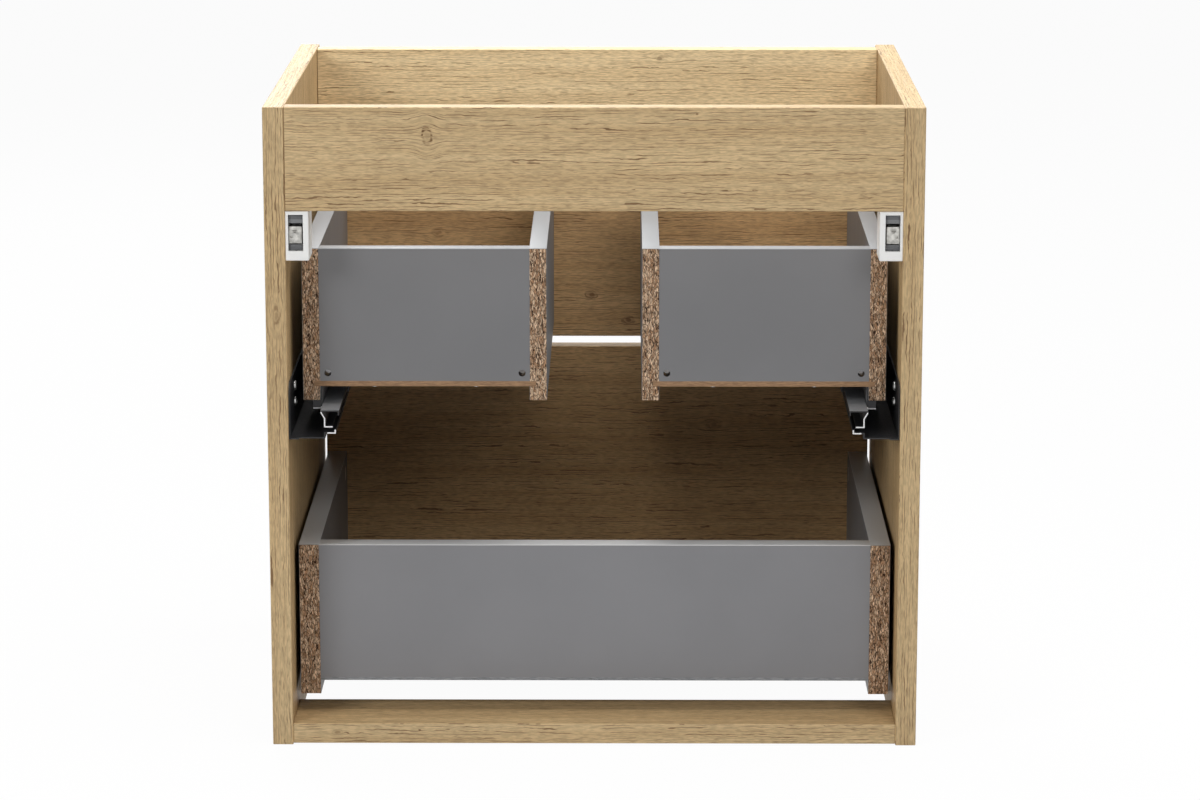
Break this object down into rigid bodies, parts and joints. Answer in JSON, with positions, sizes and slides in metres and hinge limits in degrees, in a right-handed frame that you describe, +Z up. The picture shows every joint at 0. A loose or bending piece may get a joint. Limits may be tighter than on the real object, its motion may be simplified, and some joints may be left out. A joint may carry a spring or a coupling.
{
  "type": "vanity base cabinet",
  "caption": "Wall-hung vanity base cabinet with an open rear, drawers on runners, an upper drawer cut out for the drain trap, and adjustable wall hangers in the rear corners.",
  "frame": {"origin": "under the middle of the cabinet, on the plane of the side panels' lower edges", "axes": "+X to the right as seen from the front, -Y out of the drawer fronts, +Y to the wall, +Z up"},
  "size_m": [0.6, 0.45, 0.6],
  "materials": {
    "oak_decor": "matt oak-decor laminate",
    "grey_melamine": "matt grey melamine on chipboard",
    "brown_board": "raw brown fibreboard",
    "grey_board": "matt grey fibreboard",
    "beech": "raw beech",
    "zinc_fittings": "zinc",
    "plated_screws": "zinc plated",
    "white_plastic": "satin",
    "dark_steel": "satin dark grey",
    "nickel": "nickel-plated die casting",
    "galvanised": "galvanised sheet",
    "dark_plastic": "matt",
    "nylon": "matt"
  },
  "bodies": {
    "carcass": {"left_side_panel": "oak_decor", "right_side_panel": "oak_decor", "top_rear_rail": "oak_decor", "top_front_rail": "oak_decor", "bottom_rear_rail": "oak_decor", "carcass_dowels": "beech", "carcass_cam_locks": "zinc_fittings", "carcass_cam_bolts": "zinc_fittings", "left_hanger_housing": "white_plastic", "right_hanger_housing": "white_plastic", "runner_screws": "plated_screws", "upper_left_cabinet_rail": "dark_steel", "upper_right_cabinet_rail": "dark_steel", "lower_left_cabinet_rail": "galvanised", "lower_right_cabinet_rail": "galvanised"},
    "upper_drawer": {"upper_drawer_cam_bolts": "zinc_fittings", "upper_drawer_cam_locks": "zinc_fittings", "upper_drawer_dowels": "beech", "upper_drawer_screws": "plated_screws", "upper_front": "oak_decor", "upper_left_back": "grey_melamine", "upper_left_bottom": "brown_board", "upper_left_drawer_rail": "galvanised", "upper_left_inner_side": "grey_melamine", "upper_left_outer_side": "grey_melamine", "upper_right_back": "grey_melamine", "upper_right_bottom": "brown_board", "upper_right_drawer_rail": "galvanised", "upper_right_inner_side": "grey_melamine", "upper_right_outer_side": "grey_melamine", "upper_runner_spacers": "dark_plastic"},
    "upper_middle_rails": {"upper_left_middle_rail": "galvanised", "upper_right_middle_rail": "galvanised"},
    "upper_lower_cage_pair": {"upper_lower_cages": "nylon"},
    "upper_upper_cage_pair": {"upper_upper_cages": "nylon"},
    "lower_drawer": {"lower_back": "grey_melamine", "lower_bottom": "grey_board", "lower_drawer_cam_bolts": "zinc_fittings", "lower_drawer_cam_locks": "zinc_fittings", "lower_drawer_dowels": "beech", "lower_drawer_screws": "plated_screws", "lower_front": "oak_decor", "lower_left_drawer_rail": "galvanised", "lower_left_side": "grey_melamine", "lower_right_drawer_rail": "galvanised", "lower_right_side": "grey_melamine"},
    "lower_middle_rails": {"lower_left_middle_rail": "galvanised", "lower_right_middle_rail": "galvanised"},
    "lower_lower_cage_pair": {"lower_lower_cages": "nylon"},
    "lower_upper_cage_pair": {"lower_upper_cages": "nylon"},
    "left_carrier": {"left_hanger_carrier": "dark_steel"},
    "left_claw": {"left_hanger_claw": "nickel"},
    "left_depth_adjuster": {"left_depth_screw": "plated_screws"},
    "left_height_adjuster": {"left_height_screw": "plated_screws"},
    "right_carrier": {"right_hanger_carrier": "dark_steel"},
    "right_claw": {"right_hanger_claw": "nickel"},
    "right_depth_adjuster": {"right_depth_screw": "plated_screws"},
    "right_height_adjuster": {"right_height_screw": "plated_screws"}
  },
  "joints": [
    {"name": "upper_drawer_slide", "type": "slide", "parent": "carcass", "child": "upper_drawer", "axis": [0, -1, 0], "range_m": [0, 0.37]},
    {"name": "upper_middle_rails_slide", "type": "slide", "parent": "carcass", "child": "upper_middle_rails", "axis": [0, -1, 0], "range_m": [0, 0.185]},
    {"name": "upper_lower_cage_pair_slide", "type": "slide", "parent": "carcass", "child": "upper_lower_cage_pair", "axis": [0, -1, 0], "range_m": [0, 0.0925]},
    {"name": "upper_upper_cage_pair_slide", "type": "slide", "parent": "carcass", "child": "upper_upper_cage_pair", "axis": [0, -1, 0], "range_m": [0, 0.2775]},
    {"name": "lower_drawer_slide", "type": "slide", "parent": "carcass", "child": "lower_drawer", "axis": [0, -1, 0], "range_m": [0, 0.27]},
    {"name": "lower_middle_rails_slide", "type": "slide", "parent": "carcass", "child": "lower_middle_rails", "axis": [0, -1, 0], "range_m": [0, 0.135]},
    {"name": "lower_lower_cage_pair_slide", "type": "slide", "parent": "carcass", "child": "lower_lower_cage_pair", "axis": [0, -1, 0], "range_m": [0, 0.0675]},
    {"name": "lower_upper_cage_pair_slide", "type": "slide", "parent": "carcass", "child": "lower_upper_cage_pair", "axis": [0, -1, 0], "range_m": [0, 0.2025]},
    {"name": "left_hanger_depth", "type": "slide", "parent": "carcass", "child": "left_carrier", "axis": [0, 1, 0], "range_m": [-0.004, 0.006]},
    {"name": "left_hanger_height", "type": "slide", "parent": "left_carrier", "child": "left_claw", "axis": [0, 0, 1], "range_m": [-0.005, 0.008]},
    {"name": "left_depth_screw_turn", "type": "hinge", "parent": "carcass", "child": "left_depth_adjuster", "pos_m": [-0.2754, 0.186, 0.4647], "axis": [0, 1, 0], "range_deg": [-1729, 1153]},
    {"name": "left_height_screw_turn", "type": "hinge", "parent": "left_carrier", "child": "left_height_adjuster", "pos_m": [-0.269, 0.2007, 0.4624], "axis": [0, 0, 1], "range_deg": [-2305, 1441]},
    {"name": "right_hanger_depth", "type": "slide", "parent": "carcass", "child": "right_carrier", "axis": [0, 1, 0], "range_m": [-0.004, 0.006]},
    {"name": "right_hanger_height", "type": "slide", "parent": "right_carrier", "child": "right_claw", "axis": [0, 0, 1], "range_m": [-0.005, 0.008]},
    {"name": "right_depth_screw_turn", "type": "hinge", "parent": "carcass", "child": "right_depth_adjuster", "pos_m": [0.2754, 0.186, 0.4647], "axis": [0, 1, 0], "range_deg": [-1729, 1153]},
    {"name": "right_height_screw_turn", "type": "hinge", "parent": "right_carrier", "child": "right_height_adjuster", "pos_m": [0.269, 0.2007, 0.4624], "axis": [0, 0, 1], "range_deg": [-2305, 1441]}
  ],
  "couplings": [
    {"joint": "upper_middle_rails_slide", "follows": "upper_drawer_slide", "ratio": 0.5},
    {"joint": "upper_lower_cage_pair_slide", "follows": "upper_drawer_slide", "ratio": 0.25},
    {"joint": "upper_upper_cage_pair_slide", "follows": "upper_drawer_slide", "ratio": 0.75},
    {"joint": "lower_middle_rails_slide", "follows": "lower_drawer_slide", "ratio": 0.5},
    {"joint": "lower_lower_cage_pair_slide", "follows": "lower_drawer_slide", "ratio": 0.25},
    {"joint": "lower_upper_cage_pair_slide", "follows": "lower_drawer_slide", "ratio": 0.75},
    {"joint": "left_depth_screw_turn", "follows": "left_hanger_depth", "rad_per_m": -5026.5},
    {"joint": "left_height_screw_turn", "follows": "left_hanger_height", "rad_per_m": -5026.5},
    {"joint": "right_depth_screw_turn", "follows": "right_hanger_depth", "rad_per_m": -5026.5},
    {"joint": "right_height_screw_turn", "follows": "right_hanger_height", "rad_per_m": -5026.5}
  ]
}
